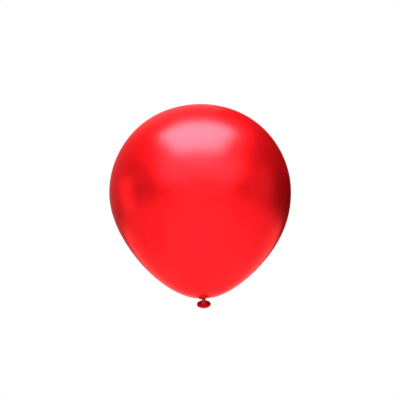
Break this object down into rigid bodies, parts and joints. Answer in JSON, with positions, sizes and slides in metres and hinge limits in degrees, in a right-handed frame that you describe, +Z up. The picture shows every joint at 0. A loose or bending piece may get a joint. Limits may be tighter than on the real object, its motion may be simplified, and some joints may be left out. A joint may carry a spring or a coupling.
{
  "type": "latex balloon",
  "caption": "Round latex party balloon, inflated and tied: thin pearl film shell, gathered throat, knot, and a flexing neck tail with a rolled lip.",
  "frame": {"origin": "centre of the neck strand just under the knot, where a ribbon is tied or a balloon cup grips", "axes": "+Z up the balloon's axis from the knot to the crown, -Y the side the tail's mouth is bent away from"},
  "size_m": [0.29, 0.29, 0.3254],
  "materials": {
    "pearl_film": "satin",
    "dense_latex": "satin"
  },
  "bodies": {
    "balloon": {"envelope": "pearl_film", "throat_collar": "pearl_film", "knot_loop": "dense_latex", "neck_strand": "dense_latex"},
    "tail_link": {"tail_strand": "dense_latex"},
    "tail_mouth": {"tail_flare": "dense_latex", "rolled_lip": "dense_latex"}
  },
  "joints": [
    {"name": "tail_sway", "type": "hinge", "parent": "balloon", "child": "tail_link", "pos_m": [0, 0, -0.002], "axis": [0, 1, 0], "range_deg": [-35, 35], "stiffness_Nm_per_rad": 0.0001},
    {"name": "tail_nod", "type": "hinge", "parent": "tail_link", "child": "tail_mouth", "pos_m": [0, 0, -0.0044], "axis": [1, 0, 0], "range_deg": [-83, 13], "stiffness_Nm_per_rad": 0.0001}
  ]
}
